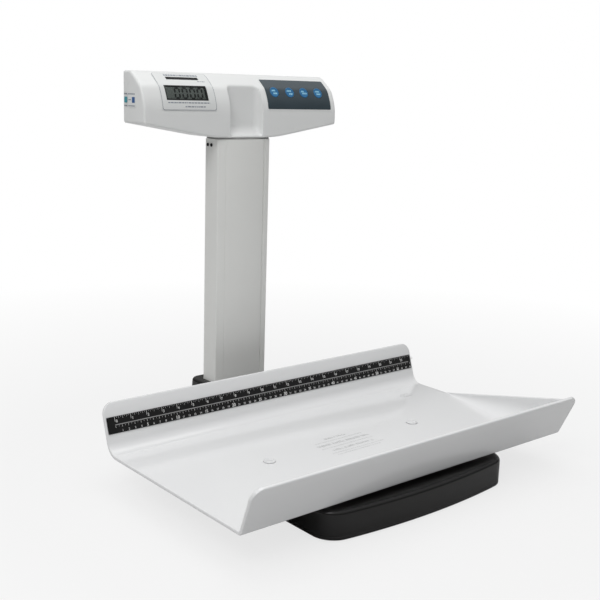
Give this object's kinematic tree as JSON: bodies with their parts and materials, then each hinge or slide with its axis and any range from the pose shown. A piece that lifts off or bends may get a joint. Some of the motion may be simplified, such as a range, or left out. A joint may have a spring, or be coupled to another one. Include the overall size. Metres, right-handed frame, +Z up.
{
  "type": "animal weighing scale",
  "caption": "Digital tray scale for small animals: bent tray with a length ruler on a low base, and a column carrying a head with a read-out and round keys.",
  "frame": {"origin": "middle of the footprint on the surface that the feet stand on", "axes": "+X along the tray, to the right for someone facing the read-out; +Y to the rear, where the column stands; +Z up"},
  "size_m": [0.608, 0.5, 0.568],
  "materials": {
    "white_enamel": "glossy white bent sheet",
    "white_plastic": "satin white moulding",
    "black_plastic": "fine-textured black moulding",
    "grey_paint": "light grey satin paint",
    "rubber": "matt black rubber",
    "steel": "zinc-plated steel",
    "aluminium": "machined aluminium",
    "black_screw": "blackened screw",
    "cap": "light grey cap",
    "ruler": "black printed strip with white scale marks",
    "panel": "pale printed overlay",
    "glass": "display window",
    "module": "liquid crystal display",
    "board": "circuit board",
    "keypad": "dark slate overlay",
    "key": "blue key",
    "battery": "battery sleeve",
    "cable": "cable sheath"
  },
  "bodies": {
    "root": {"base_cover": "black_plastic", "base_plate": "steel", "load_cell": "aluminium", "load_cell_lower_spacer": "steel", "overload_stop_left": "steel", "overload_stop_right": "steel", "column_boot": "black_plastic", "column_front": "grey_paint", "column_rear_panel": "grey_paint", "column_gasket": "rubber", "column_foot_bracket": "steel", "head_bracket": "aluminium", "column_screw_left_front": "black_screw", "column_screw_left_rear": "black_screw", "column_screw_right_front": "black_screw", "column_screw_right_rear": "black_screw", "signal_cable": "cable", "head_front_housing": "white_plastic", "head_rear_cover": "white_plastic", "head_screw_1": "steel", "head_screw_2": "steel", "head_screw_3": "steel", "head_screw_4": "steel", "power_inlet": "black_plastic", "display_panel": "panel", "lcd_window": "glass", "lcd_module": "module", "main_board": "board", "keypad_overlay": "keypad", "keypad_board": "board", "battery_box": "black_plastic", "battery_1": "battery", "battery_2": "battery", "battery_3": "battery", "battery_4": "battery", "side_label": "panel"},
    "platform": {"tray_pan": "white_enamel", "ruler_strip": "ruler", "platform_spider": "aluminium", "tray_screw_left": "steel", "tray_screw_right": "steel", "tray_screw_cap_left": "cap", "tray_screw_cap_right": "cap", "tray_pad_front": "rubber", "tray_pad_rear": "rubber", "load_cell_upper_spacer": "steel"},
    "key_1": {"key_1": "key"},
    "key_2": {"key_2": "key"},
    "key_3": {"key_3": "key"},
    "key_4": {"key_4": "key"},
    "battery_door": {"battery_door": "white_plastic"},
    "foot_front_left": {"levelling_foot_front_left": "rubber"},
    "foot_front_right": {"levelling_foot_front_right": "rubber"},
    "foot_rear_left": {"levelling_foot_rear_left": "rubber"},
    "foot_rear_right": {"levelling_foot_rear_right": "rubber"}
  },
  "joints": [
    {"name": "platform_travel", "type": "slide", "parent": "root", "child": "platform", "axis": [0, 0, -1], "range_m": [0, 0.00025], "stiffness_N_per_m": 800000, "springref_m": -0.00003},
    {"name": "key_1_press", "type": "slide", "parent": "root", "child": "key_1", "axis": [0, 0.8977, -0.4407], "range_m": [0, 0.0005], "stiffness_N_per_m": 3000},
    {"name": "key_2_press", "type": "slide", "parent": "root", "child": "key_2", "axis": [0, 0.8977, -0.4407], "range_m": [0, 0.0005], "stiffness_N_per_m": 3000},
    {"name": "key_3_press", "type": "slide", "parent": "root", "child": "key_3", "axis": [0, 0.8977, -0.4407], "range_m": [0, 0.0005], "stiffness_N_per_m": 3000},
    {"name": "key_4_press", "type": "slide", "parent": "root", "child": "key_4", "axis": [0, 0.8977, -0.4407], "range_m": [0, 0.0005], "stiffness_N_per_m": 3000},
    {"name": "battery_door_slide", "type": "slide", "parent": "root", "child": "battery_door", "axis": [0, 0, -1], "range_m": [0, 0.045]},
    {"name": "foot_front_left_screw", "type": "slide", "parent": "root", "child": "foot_front_left", "axis": [0, 0, -1], "range_m": [0, 0.006]},
    {"name": "foot_front_right_screw", "type": "slide", "parent": "root", "child": "foot_front_right", "axis": [0, 0, -1], "range_m": [0, 0.006]},
    {"name": "foot_rear_left_screw", "type": "slide", "parent": "root", "child": "foot_rear_left", "axis": [0, 0, -1], "range_m": [0, 0.006]},
    {"name": "foot_rear_right_screw", "type": "slide", "parent": "root", "child": "foot_rear_right", "axis": [0, 0, -1], "range_m": [0, 0.006]}
  ]
}
